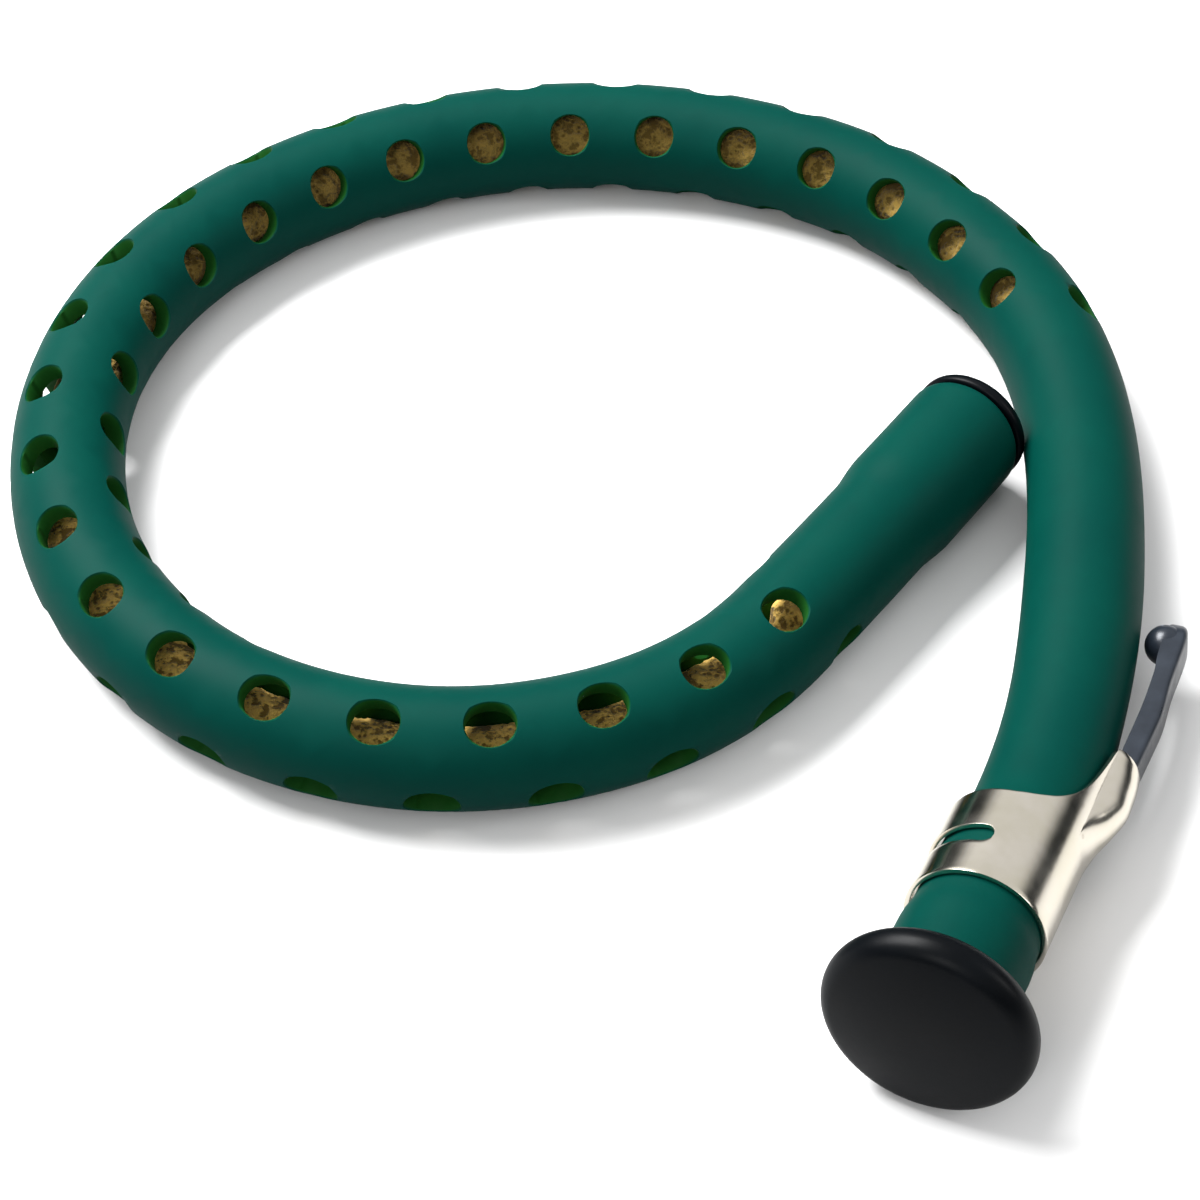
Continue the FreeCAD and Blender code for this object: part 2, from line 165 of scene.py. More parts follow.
class HumidifierStageSettings(bpy.types.PropertyGroup):
    """Camera, floor and light"""

    camera_distance: FloatProperty(
        name="Camera distance", description="Distance of the camera from the spot it looks at",
        default=0.26847, min=0.05, max=2.0, unit="LENGTH")
    camera_elevation: FloatProperty(
        name="Camera elevation", description="Angle of the camera above the floor",
        default=math.radians(45.48), min=0.0, max=math.radians(89), subtype="ANGLE")
    camera_lens: FloatProperty(
        name="Lens", description="Focal length of the camera's lens, in millimetres",
        default=98.4, min=10.0, max=300.0)
    floor_colour: tint("Floor colour", "Colour of the floor", (0.86, 0.86, 0.86))
    floor_bounce: tint("Floor bounce", "Colour of the light the floor throws back at the object", (0.28, 0.28, 0.28))
    sky_strength: FloatProperty(
        name="Sky strength", description="Brightness of the surroundings",
        default=0.78, min=0.0, max=5.0)


# ---- Node helpers ----
class Nodes:
    """Adds nodes to a tree and joins their sockets."""

    def __init__(self, tree):
        self.tree = tree

    def add(self, kind, inputs=(), **settings):
        node = self.tree.nodes.new(kind)
        for name, value in settings.items():
            setattr(node, name, value)
        for key, value in dict(inputs).items():
            self.feed(node.inputs[key], value)
        return node

    def feed(self, socket, value):
        if isinstance(value, bpy.types.NodeSocket):
            self.tree.links.new(value, socket)
        else:
            socket.default_value = value

    def math(self, operation, *values, clamp=False):
        node = self.add("ShaderNodeMath", enumerate(values), operation=operation)
        node.use_clamp = clamp
        return node.outputs[0]

    def vector(self, operation, *values):
        node = self.tree.nodes.new("ShaderNodeVectorMath")
        node.operation = operation
        for index, value in enumerate(values):
            self.feed(node.inputs["Scale"] if operation == "SCALE" and index == 1 else node.inputs[index], value)
        return node.outputs["Value"] if operation in ("DOT_PRODUCT", "LENGTH") else node.outputs["Vector"]

    def ease(self, value, low, high, to_low=0.0, to_high=1.0):
        """Smooth step from one number to another while value goes from low to high."""
        node = self.add("ShaderNodeMapRange", {"Value": value, "From Min": low, "From Max": high,
                                               "To Min": to_low, "To Max": to_high},
                        interpolation_type="SMOOTHSTEP")
        return node.outputs["Result"]


def clean_material(name):
    """Material with only its output node."""
    material = bpy.data.materials.new(name)
    material.use_nodes = True
    material.node_tree.nodes.clear()
    return material


def finish_material(nodes, sockets):
    """Principled surface with these sockets, joined to the output."""
    surface = nodes.add("ShaderNodeBsdfPrincipled", sockets)
    output = nodes.add("ShaderNodeOutputMaterial")
    nodes.tree.links.new(surface.outputs[0], output.inputs["Surface"])
    return surface


def group_tree(name, inputs, outputs):
    """Empty shader group with named float inputs and named outputs."""
    tree = bpy.data.node_groups.new(name, "ShaderNodeTree")
    for label, default in inputs:
        socket = tree.interface.new_socket(name=label, in_out="INPUT", socket_type="NodeSocketFloat")
        socket.default_value = default
    for label, kind in outputs:
        tree.interface.new_socket(name=label, in_out="OUTPUT", socket_type=kind)
    return tree


def cloud_group():
    """Soft uneven patches, as old rubber, sponge and plate have."""
    tree = group_tree("Cloudy patches", [("Scale", 60.0), ("Contrast", 1.0)], [("Mask", "NodeSocketFloat")])
    nodes = Nodes(tree)
    given = nodes.add("NodeGroupInput")
    place = nodes.add("ShaderNodeTexCoord")
    field = nodes.add("ShaderNodeTexNoise", {"Vector": place.outputs["Object"], "Scale": given.outputs["Scale"],
                                             "Detail": 4.0, "Roughness": 0.6})
    centred = nodes.math("SUBTRACT", field.outputs[0], 0.5)
    spread = nodes.math("MULTIPLY_ADD", centred, given.outputs["Contrast"], 0.5, clamp=True)
    nodes.add("NodeGroupOutput", {"Mask": spread})
    return tree


def grain_group():
    """Fine bumps of a moulded or rubbed surface."""
    tree = group_tree("Fine grain", [("Scale", 3000.0), ("Height", 0.00002), ("Strength", 0.3)],
                      [("Normal", "NodeSocketVector"), ("Mask", "NodeSocketFloat")])
    nodes = Nodes(tree)
    given = nodes.add("NodeGroupInput")
    place = nodes.add("ShaderNodeTexCoord")
    field = nodes.add("ShaderNodeTexNoise", {"Vector": place.outputs["Object"], "Scale": given.outputs["Scale"],
                                             "Detail": 3.0, "Roughness": 0.55})
    bump = nodes.add("ShaderNodeBump", {"Strength": given.outputs["Strength"], "Distance": given.outputs["Height"],
                                        "Height": field.outputs[0]})
    nodes.add("NodeGroupOutput", {"Normal": bump.outputs[0], "Mask": field.outputs[0]})
    return tree


def speck_group():
    """Sparse tiny specks of dust."""
    tree = group_tree("Dust specks", [("Scale", 220.0), ("Size", 0.06), ("Share", 0.12)],
                      [("Mask", "NodeSocketFloat")])
    nodes = Nodes(tree)
    given = nodes.add("NodeGroupInput")
    place = nodes.add("ShaderNodeTexCoord")
    cells = nodes.add("ShaderNodeTexVoronoi", {"Vector": place.outputs["Object"], "Scale": given.outputs["Scale"]})
    near = nodes.math("LESS_THAN", cells.outputs["Distance"], given.outputs["Size"])
    parts = nodes.add("ShaderNodeSeparateColor", {0: cells.outputs["Color"]})
    chosen = nodes.math("LESS_THAN", parts.outputs[0], given.outputs["Share"])
    nodes.add("NodeGroupOutput", {"Mask": nodes.math("MULTIPLY", near, chosen)})
    return tree


def shared(name, make):
    """A node group by name, built the first time it is asked for."""
    return bpy.data.node_groups.get(name) or make()


def place_group(nodes, name, make, values):
    node = nodes.add("ShaderNodeGroup", node_tree=shared(name, make))
    for key, value in values.items():
        nodes.feed(node.inputs[key], value)
    return node


def mix_colour(nodes, factor, low, high):
    node = nodes.add("ShaderNodeMix", data_type="RGBA")
    nodes.feed(node.inputs[0], factor)
    nodes.feed(node.inputs[6], low)
    nodes.feed(node.inputs[7], high)
    return node.outputs[2]


def opaque(colour):
    return (colour[0], colour[1], colour[2], 1.0)


# ---- Materials ----
def rubber_material(settings):
    material = clean_material("Teal green rubber")
    nodes = Nodes(material.node_tree)
    clouds = place_group(nodes, "Cloudy patches", cloud_group, {"Scale": 90.0, "Contrast": 2.2})
    specks = place_group(nodes, "Dust specks", speck_group, {"Scale": 260.0, "Size": 0.03, "Share": 0.1})
    grain = place_group(nodes, "Fine grain", grain_group, {"Scale": 2600.0, "Height": 0.00002, "Strength": 0.22})
    # Painted glow: the hole walls and the tube's inside, marked by the cut attribute, take the cut colour, which stands
    # in for light shining through the rubber.
    cut = nodes.add("ShaderNodeAttribute", attribute_name="cut")
    rubber = mix_colour(nodes, clouds.outputs["Mask"], opaque(settings.deep_colour), opaque(settings.colour))
    glow_walled = mix_colour(nodes, cut.outputs["Fac"], rubber, opaque(settings.cut_glow_colour))
    dusted = mix_colour(nodes, specks.outputs["Mask"], glow_walled, (0.2, 0.32, 0.28, 1.0))
    rough = nodes.math("MULTIPLY_ADD", clouds.outputs["Mask"], 0.12, 0.46)
    finish_material(nodes, {"Base Color": dusted, "Roughness": rough, "Normal": grain.outputs["Normal"],
                            "IOR": 1.47, "Specular IOR Level": 0.04, "Subsurface Weight": 0.06,
                            "Subsurface Radius": (0.2, 1.0, 0.7), "Subsurface Scale": 0.0012})
    return material


def sponge_material(settings):
    material = clean_material("Ochre sponge")
    nodes = Nodes(material.node_tree)
    place = nodes.add("ShaderNodeTexCoord")
    pores = nodes.add("ShaderNodeTexVoronoi", {"Vector": place.outputs["Object"], "Scale": 1500.0})
    clouds = place_group(nodes, "Cloudy patches", cloud_group, {"Scale": 900.0, "Contrast": 4.5})
    # Painted shade in the pores, with random darker patches: the pits and the low cloudy patches take the deep colour.
    # The same pits drive the bump.
    pit = nodes.ease(pores.outputs["Distance"], 0.05, 0.5)
    depth = nodes.math("MULTIPLY", pit, clouds.outputs["Mask"])
    colour = mix_colour(nodes, nodes.ease(depth, 0.05, 0.5), opaque(settings.deep_colour), opaque(settings.colour))
    # Painted shade: the sponge is darkened towards the far side of the loop, standing in for the shade it lies in there
    # inside the tube.
    parts = nodes.add("ShaderNodeSeparateXYZ", {0: place.outputs["Object"]}).outputs
    far_side_shade = nodes.ease(parts[1], 0.0, 0.03, 0.0, 0.72)
    colour = mix_colour(nodes, far_side_shade, colour, (0.11, 0.07, 0.012, 1.0))
    bump = nodes.add("ShaderNodeBump", {"Strength": 0.9, "Distance": 0.00025, "Height": depth})
    finish_material(nodes, {"Base Color": colour, "Roughness": 0.9, "Normal": bump.outputs[0],
                            "Specular IOR Level": 0.15, "Sheen Weight": 0.15, "Sheen Roughness": 0.6})
    return material


def plug_material(settings):
    material = clean_material("Black moulded plug")
    nodes = Nodes(material.node_tree)
    clouds = place_group(nodes, "Cloudy patches", cloud_group, {"Scale": 160.0, "Contrast": 2.4})
    specks = place_group(nodes, "Dust specks", speck_group, {"Scale": 300.0, "Size": 0.05, "Share": 0.05})
    grain = place_group(nodes, "Fine grain", grain_group, {"Scale": 2200.0, "Height": 0.00002, "Strength": 0.25})
    base = opaque(settings.colour)
    lighter = tuple(min(1.0, 1.9 * part) for part in settings.colour) + (1.0,)
    colour = mix_colour(nodes, clouds.outputs["Mask"], base, lighter)
    dusted = mix_colour(nodes, specks.outputs["Mask"], colour, (0.12, 0.14, 0.15, 1.0))
    rough = nodes.math("MULTIPLY_ADD", clouds.outputs["Mask"], 0.12, 0.34)
    finish_material(nodes, {"Base Color": dusted, "Roughness": rough, "Normal": grain.outputs["Normal"],
                            "Specular IOR Level": 0.09})
    return material


def plate_material(settings):
    material = clean_material("Bright nickel plate")
    nodes = Nodes(material.node_tree)
    clouds = place_group(nodes, "Cloudy patches", cloud_group, {"Scale": 260.0, "Contrast": 2.0})
    specks = place_group(nodes, "Dust specks", speck_group, {"Scale": 520.0, "Size": 0.12, "Share": 0.2})
    grain = place_group(nodes, "Fine grain", grain_group, {"Scale": 900.0, "Height": 0.00003, "Strength": 0.16})
    base = opaque(settings.plate_colour)
    warm = tuple(0.86 * part for part in settings.plate_colour[:2]) + (0.78 * settings.plate_colour[2], 1.0)
    colour = mix_colour(nodes, clouds.outputs["Mask"], warm, base)
    spotted = mix_colour(nodes, nodes.math("MULTIPLY", specks.outputs["Mask"], 0.35), colour, (0.35, 0.31, 0.26, 1.0))
    rough = nodes.math("MULTIPLY_ADD", clouds.outputs["Mask"], 0.1, 0.13)
    finish_material(nodes, {"Base Color": spotted, "Metallic": 1.0, "Roughness": rough,
                            "Normal": grain.outputs["Normal"]})
    return material


def dark_steel_material(settings):
    material = clean_material("Blackened steel")
    nodes = Nodes(material.node_tree)
    clouds = place_group(nodes, "Cloudy patches", cloud_group, {"Scale": 500.0, "Contrast": 2.2})
    grain = place_group(nodes, "Fine grain", grain_group, {"Scale": 2600.0, "Height": 0.00002, "Strength": 0.3})
    base = opaque(settings.arm_colour)
    worn = tuple(min(1.0, 2.2 * part) for part in settings.arm_colour) + (1.0,)
    place = nodes.add("ShaderNodeNewGeometry")
    # Painted highlight: the arm's pointy edges and back take a light blue-grey, standing in for the light strip that
    # the steel reflects.
    edge = nodes.ease(place.outputs["Pointiness"], 0.6, 0.72)
    mottled = mix_colour(nodes, nodes.math("MULTIPLY", clouds.outputs["Mask"], 0.5), base, worn)
    colour = mix_colour(nodes, nodes.math("MULTIPLY", edge, 0.5), mottled, (0.3, 0.35, 0.42, 1.0))
    rough = nodes.math("MULTIPLY_ADD", clouds.outputs["Mask"], 0.15, 0.26)
    finish_material(nodes, {"Base Color": colour, "Metallic": 0.2, "Roughness": rough,
                            "Normal": grain.outputs["Normal"]})
    return material


def plain_steel_material():
    material = clean_material("Plain spring steel")
    nodes = Nodes(material.node_tree)
    clouds = place_group(nodes, "Cloudy patches", cloud_group, {"Scale": 700.0, "Contrast": 2.0})
    colour = mix_colour(nodes, clouds.outputs["Mask"], (0.3, 0.29, 0.28, 1.0), (0.48, 0.47, 0.45, 1.0))
    rough = nodes.math("MULTIPLY_ADD", clouds.outputs["Mask"], 0.2, 0.3)
    finish_material(nodes, {"Base Color": colour, "Metallic": 1.0, "Roughness": rough})
    return material


def floor_material(settings):
    material = clean_material("Pale studio floor")
    nodes = Nodes(material.node_tree)
    clouds = place_group(nodes, "Cloudy patches", cloud_group, {"Scale": 8.0, "Contrast": 0.6})
    low = tuple(0.985 * part for part in settings.floor_colour) + (1.0,)
    seen = mix_colour(nodes, clouds.outputs["Mask"], low, opaque(settings.floor_colour))
    path = nodes.add("ShaderNodeLightPath")
    direct = nodes.math("MAXIMUM", path.outputs["Is Camera Ray"],
                        nodes.math("MULTIPLY", path.outputs["Is Glossy Ray"], 0.5))
    colour = mix_colour(nodes, direct, opaque(settings.floor_bounce), seen)
    finish_material(nodes, {"Base Color": colour, "Roughness": 0.9, "Specular IOR Level": 0.1})
    return material


# ---- Mesh helpers ----
def add_object(name, mesh, material=None):
    piece = bpy.data.objects.new(name, mesh)
    bpy.context.scene.collection.objects.link(piece)
    if material is not None:
        mesh.materials.clear()
        mesh.materials.append(material)
    return piece


def closed_piece(name, mesh, material, sharp=None):
    """Smooth object from a closed bmesh, with its faces outwards and creases above an angle."""
    bmesh.ops.recalc_face_normals(mesh, faces=mesh.faces)
    data = bpy.data.meshes.new(name)
    mesh.to_mesh(data)
    mesh.free()
    data.polygons.foreach_set("use_smooth", [True] * len(data.polygons))
    if sharp is not None:
        data.set_sharp_from_angle(angle=sharp)
    return add_object(name, data, material)


def baked(piece, name):
    """The piece with its modifiers made real, as a new object at the origin."""
    bpy.context.view_layer.update()
    graph = bpy.context.evaluated_depsgraph_get()
    mesh = bpy.data.meshes.new_from_object(piece.evaluated_get(graph), depsgraph=graph)
    old = piece.data
    bpy.data.objects.remove(piece, do_unlink=True)
    if old.users == 0 and isinstance(old, bpy.types.Mesh):
        bpy.data.meshes.remove(old)
    mesh.name = name
    return add_object(name, mesh)


def route_curve():
    """Smooth line of the tube, as a NURBS curve without thickness."""
    data = bpy.data.curves.new("route_line", "CURVE")
    data.dimensions = "3D"
    data.resolution_u = 32
    spline = data.splines.new("NURBS")
    spline.points.add(len(ROUTE) - 1)
    for point, place in zip(spline.points, ROUTE):
        point.co = (*place, 1.0)
    spline.order_u = 3
    spline.use_endpoint_u = True
    line = bpy.data.objects.new("route_line", data)
    bpy.context.scene.collection.objects.link(line)
    return line


def route_points(line):
    """Points along the smooth line, in order from the tail end."""
    bpy.context.view_layer.update()
    graph = bpy.context.evaluated_depsgraph_get()
    mesh = bpy.data.meshes.new_from_object(line.evaluated_get(graph), depsgraph=graph)
    points = [vertex.co.copy() for vertex in mesh.vertices]
    bpy.data.meshes.remove(mesh)
    return points


def route_stations():
    """Points of the smooth line from the tail end, without leaving its curve behind."""
    line = route_curve()
    points = route_points(line)
    bpy.data.objects.remove(line, do_unlink=True)
    return points


class Line:
    """Stations along a list of points, with a level frame at each."""

    def __init__(self, points):
        self.points = points
        self.stations = [0.0]
        for a, b in zip(points, points[1:]):
            self.stations.append(self.stations[-1] + (b - a).length)
        self.length = self.stations[-1]

    def at(self, station):
        """Point, direction, outward side of the loop and upward side."""
        station = min(max(station, 0.0), self.length)
        low, high = 0, len(self.stations) - 1
        while high - low > 1:
            middle = (low + high) // 2
            if self.stations[middle] <= station:
                low = middle
            else:
                high = middle
        span = self.stations[high] - self.stations[low]
        share = (station - self.stations[low]) / span
        point = self.points[low].lerp(self.points[high], share)
        before = self.points[max(low - 1, 0)]
        after = self.points[min(high + 1, len(self.points) - 1)]
        direction = (after - before).normalized()
        outward = Vector((0, 0, 1)).cross(direction).normalized()
        return point, direction, outward, direction.cross(outward)


def lathe(name, profile, origin, axis, side, segments, material):
    """Closed solid turned from (radius, height) points whose ends lie on the axis."""
    across = axis.cross(side)
    mesh = bmesh.new()
    rings = []
    for radius, height in profile:
        centre = origin + axis * height
        if radius < 1e-9:
            rings.append([mesh.verts.new(centre)])
            continue
        ring = []
        for step in range(segments):
            angle = 2 * math.pi * step / segments
            ring.append(mesh.verts.new(centre + (side * math.cos(angle) + across * math.sin(angle)) * radius))
        rings.append(ring)
    for lower, upper in zip(rings, rings[1:]):
        for step in range(segments):
            following = (step + 1) % segments
            if len(lower) == 1:
                mesh.faces.new((lower[0], upper[step], upper[following]))
            elif len(upper) == 1:
                mesh.faces.new((lower[step], upper[0], lower[following]))
            else:
                mesh.faces.new((lower[step], upper[step], upper[following], lower[following]))
    return closed_piece(name, mesh, material, sharp=math.radians(50))


def arc_points(centre, radius, start, end, steps):
    """Points on an arc, as (radius, height) pairs; angles in degrees."""
    found = []
    for step in range(steps + 1):
        angle = math.radians(start + (end - start) * step / steps)
        found.append((centre[0] + radius * math.cos(angle), centre[1] + radius * math.sin(angle)))
    return found


def smooth_step(value, low, high):
    share = min(max((value - low) / (high - low), 0.0), 1.0)
    return share * share * (3 - 2 * share)


def eased(table, value):
    """Smooth curve through given (value, result) pairs with level ends."""
    if value <= table[0][0]:
        return table[0][1]
    if value >= table[-1][0]:
        return table[-1][1]
    slopes = [0.0]
    for (a, fa), (b, fb), (c, fc) in zip(table, table[1:], table[2:]):
        left, right = (fb - fa) / (b - a), (fc - fb) / (c - b)
        slopes.append(0.0 if left * right <= 0 else 2 * left * right / (left + right))
    slopes.append(0.0)
    for index in range(len(table) - 1):
        (a, fa), (b, fb) = table[index], table[index + 1]
        if value <= b:
            span = b - a
            t = (value - a) / span
            return (fa * (1 + 2 * t) * (1 - t) ** 2 + slopes[index] * span * t * (1 - t) ** 2
                    + fb * t * t * (3 - 2 * t) + slopes[index + 1] * span * t * t * (t - 1))
    return table[-1][1]


def on_clip(distance, across, height):
    """Row position of a point given from the neck's axis: towards the arm, across, up the neck."""
    return HEAD_END + ARM_SIDE * distance + ACROSS * across + NECK * height


# ---- Tube by Geometry Nodes ----
COLUMNS = 16               # columns of faces in one cell of the hole pattern
SIDES = 64                 # faces round the tube
TAIL_CELLS = 3             # plain cells at the tail, besides the pattern's own first one
HEAD_CELLS = 6


def tube_tree():
    """Node tree that wraps a staggered hole pattern round a curve and gives it a wall."""
    tree = bpy.data.node_groups.new("Perforated tube", "GeometryNodeTree")
    face = tree.interface
    face.new_socket(name="Geometry", in_out="INPUT", socket_type="NodeSocketGeometry")
    face.new_socket(name="Route", in_out="INPUT", socket_type="NodeSocketObject")
    for label in ("Radius", "Wall", "Flattening", "Tail Radius", "Head Radius", "Waist Radius", "Hole Radius",
                  "Hole Pitch", "First Hole", "First Angle", "Middle Angle", "Last Angle", "Hole Rim", "End Rim"):
        face.new_socket(name=label, in_out="INPUT", socket_type="NodeSocketFloat")
    face.new_socket(name="Holes per Row", in_out="INPUT", socket_type="NodeSocketInt")
    face.new_socket(name="Material", in_out="INPUT", socket_type="NodeSocketMaterial")
    face.new_socket(name="Geometry", in_out="OUTPUT", socket_type="NodeSocketGeometry")
    nodes = Nodes(tree)
    given = nodes.add("NodeGroupInput").outputs
    holes = given["Holes per Row"]
    pitch = given["Hole Pitch"]

    # Unit cylinder whose height counts cells of the pattern.
    cells = nodes.math("ADD", holes, float(TAIL_CELLS + HEAD_CELLS + 1))
    shell = nodes.add("GeometryNodeMeshCylinder", {
        "Vertices": SIDES, "Side Segments": nodes.math("MULTIPLY", cells, float(COLUMNS)),
        "Radius": 1.0, "Depth": cells}, fill_type="NONE")

    def pattern():
        """Cell coordinates of a point on the unit cylinder."""
        place = nodes.add("GeometryNodeInputPosition").outputs[0]
        parts = nodes.add("ShaderNodeSeparateXYZ", {0: place}).outputs
        column = nodes.math("SUBTRACT", nodes.math("MULTIPLY_ADD", cells, 0.5, parts[2]), float(TAIL_CELLS + 1))
        turn = nodes.math("MULTIPLY_ADD", nodes.math("ARCTAN2", parts[1], parts[0]), 2 / math.pi, 2.0)
        row = nodes.math("FLOOR", turn)
        odd = nodes.math("MODULO", row, 2.0)
        b = nodes.math("MULTIPLY_ADD", nodes.math("SUBTRACT", turn, row), 2.0, -1.0)
        shifted = nodes.math("MULTIPLY_ADD", odd, 0.5, column)
        index = nodes.math("ROUND", shifted)
        a = nodes.math("MULTIPLY", nodes.math("SUBTRACT", shifted, index), 2.0)
        real = nodes.math("MULTIPLY", nodes.math("GREATER_THAN", index, -0.5),
                          nodes.math("LESS_THAN", index, nodes.math("SUBTRACT", holes, 0.5)))
        ring = nodes.math("MAXIMUM", nodes.math("ABSOLUTE", a), nodes.math("ABSOLUTE", b))
        return parts, column, turn, a, b, real, ring

    parts, column, turn, a, b, real, ring = pattern()
    inside = nodes.math("MULTIPLY", real, nodes.math("LESS_THAN", ring, 0.499))
    punched = nodes.add("GeometryNodeDeleteGeometry", {"Geometry": shell.outputs["Mesh"], "Selection": inside},
                        domain="FACE", mode="ALL")
    thick = nodes.add("GeometryNodeExtrudeMesh", {"Mesh": punched.outputs[0], "Offset Scale": 0.2,
                                                  "Individual": False}, mode="FACES")
    turned = nodes.add("GeometryNodeFlipFaces", {"Mesh": punched.outputs[0]})
    both = nodes.add("GeometryNodeJoinGeometry")
    nodes.tree.links.new(turned.outputs[0], both.inputs[0])
    nodes.tree.links.new(thick.outputs["Mesh"], both.inputs[0])
    closed = nodes.add("GeometryNodeMergeByDistance", {"Geometry": both.outputs[0], "Distance": 0.002})

    # Where each point of the cylinder goes on the tube.
    line = nodes.add("GeometryNodeObjectInfo", {"Object": given["Route"]}, transform_space="ORIGINAL")
    length = nodes.add("GeometryNodeCurveLength", {0: line.outputs["Geometry"]}).outputs[0]
    flat = nodes.add("ShaderNodeCombineXYZ", {0: parts[0], 1: parts[1]}).outputs[0]
    outer = nodes.math("GREATER_THAN", nodes.vector("LENGTH", flat), 1.1)
    first = nodes.math("SUBTRACT", given["First Hole"], pitch)
    last = nodes.math("MULTIPLY_ADD", holes, pitch, given["First Hole"])
    tail_share = nodes.math("MULTIPLY", nodes.math("ADD", column, float(TAIL_CELLS + 1)), 1 / TAIL_CELLS, clamp=True)
    tail_station = nodes.math("MULTIPLY", first, nodes.math("POWER", tail_share, 1.5))
    middle_share = nodes.math("MINIMUM", nodes.math("MAXIMUM", nodes.math("ADD", column, 1.0), 0.0),
                              nodes.math("ADD", holes, 1.0))
    head_share = nodes.math("MULTIPLY", nodes.math("SUBTRACT", column, holes), 1 / HEAD_CELLS, clamp=True)
    head_curve = nodes.math("SUBTRACT", 1.0, nodes.math("POWER", nodes.math("SUBTRACT", 1.0, head_share), 1.3))
    station = nodes.math("ADD", nodes.math("MULTIPLY_ADD", middle_share, pitch, tail_station),
                         nodes.math("MULTIPLY", nodes.math("SUBTRACT", length, last), head_curve))
    from_head = nodes.math("SUBTRACT", length, station)

    # Radius along the tube: stretched ends, a waist above the clip, then the relaxed tube.
    radius = given["Radius"]
    tail_swell = nodes.math("MULTIPLY", nodes.math("SUBTRACT", given["Tail Radius"], radius),
                            nodes.ease(station, 10.8 * MM, 14.5 * MM, 1.0, 0.0))
    head_swell = nodes.math("MULTIPLY", nodes.math("SUBTRACT", given["Head Radius"], radius),
                            nodes.ease(from_head, 5.6 * MM, 8.0 * MM, 1.0, 0.0))
    pinch = nodes.math("MULTIPLY", nodes.ease(from_head, 16.5 * MM, 20.5 * MM),
                       nodes.ease(from_head, 29.0 * MM, 48.0 * MM, 1.0, 0.0))
    waist = nodes.math("MULTIPLY", nodes.math("SUBTRACT", given["Waist Radius"], radius), pinch)
    skin = nodes.math("ADD", nodes.math("ADD", radius, tail_swell), nodes.math("ADD", head_swell, waist))
    depth = nodes.math("SUBTRACT", skin, nodes.math("MULTIPLY", nodes.math("SUBTRACT", 1.0, outer), given["Wall"]))

    # Each cell's square centre is drawn into a round hole.
    spread = nodes.math("POWER", nodes.math("MULTIPLY_ADD", ring, 2.0, -1.0, clamp=True), 1.6)
    pull = nodes.math("MULTIPLY", real, nodes.math("SUBTRACT", 1.0, spread))
    heading = nodes.add("ShaderNodeCombineXYZ", {0: a, 1: b}).outputs[0]
    ways = nodes.add("ShaderNodeSeparateXYZ", {0: nodes.vector("NORMALIZE", heading)}).outputs
    round_along = nodes.math("MULTIPLY", given["Hole Radius"], ways[0])
    square_along = nodes.math("MULTIPLY", nodes.math("MULTIPLY", a, 0.5), pitch)
    along = nodes.math("MULTIPLY_ADD", pull, nodes.math("SUBTRACT", round_along, square_along), station)
    lateral = nodes.math("DIVIDE", nodes.math("MULTIPLY", given["Hole Radius"], ways[1]), depth)
    round_turn = nodes.math("ARCSINE", lateral)
    square_turn = nodes.math("MULTIPLY", b, math.pi / 4)
    half = nodes.math("MULTIPLY_ADD", holes, 0.5, -0.5)
    share = nodes.math("DIVIDE", nodes.math("SUBTRACT", column, half), half)
    share = nodes.math("MAXIMUM", nodes.math("MINIMUM", share, 1.15), -1.15)
    tilt = nodes.math("MULTIPLY", nodes.math("SUBTRACT", given["Last Angle"], given["First Angle"]), 0.5)
    bend = nodes.math("SUBTRACT", nodes.math("MULTIPLY", nodes.math("ADD", given["Last Angle"], given["First Angle"]),
                                             0.5), given["Middle Angle"])
    lean = nodes.math("ADD", nodes.math("MULTIPLY_ADD", tilt, share, given["Middle Angle"]),
                      nodes.math("MULTIPLY", bend, nodes.math("MULTIPLY", share, share)))
    angle = nodes.math("MULTIPLY_ADD", nodes.math("SUBTRACT", turn, 0.5), math.pi / 2, lean)
    angle = nodes.math("MULTIPLY_ADD", pull, nodes.math("SUBTRACT", round_turn, square_turn), angle)

    def rounding(distance, size):
        """How far a rounded edge falls away at a distance from the edge."""
        open_part = nodes.math("SUBTRACT", 1.0, nodes.math("DIVIDE", distance, size), clamp=True)
        height = nodes.math("SQRT", nodes.math("SUBTRACT", 1.0, nodes.math("MULTIPLY", open_part, open_part),
                                               clamp=True))
        return nodes.math("MULTIPLY", size, nodes.math("SUBTRACT", 1.0, height))

    hole_edge = nodes.math("ADD", nodes.math("MULTIPLY", spread, 2.0 * MM),
                           nodes.math("MULTIPLY", nodes.math("SUBTRACT", 1.0, real), 1.0))
    end_edge = nodes.math("MINIMUM", station, from_head)
    fall = nodes.math("ADD", rounding(hole_edge, given["Hole Rim"]), rounding(end_edge, given["End Rim"]))
    reach = nodes.math("SUBTRACT", depth, nodes.math("MULTIPLY", outer, fall))

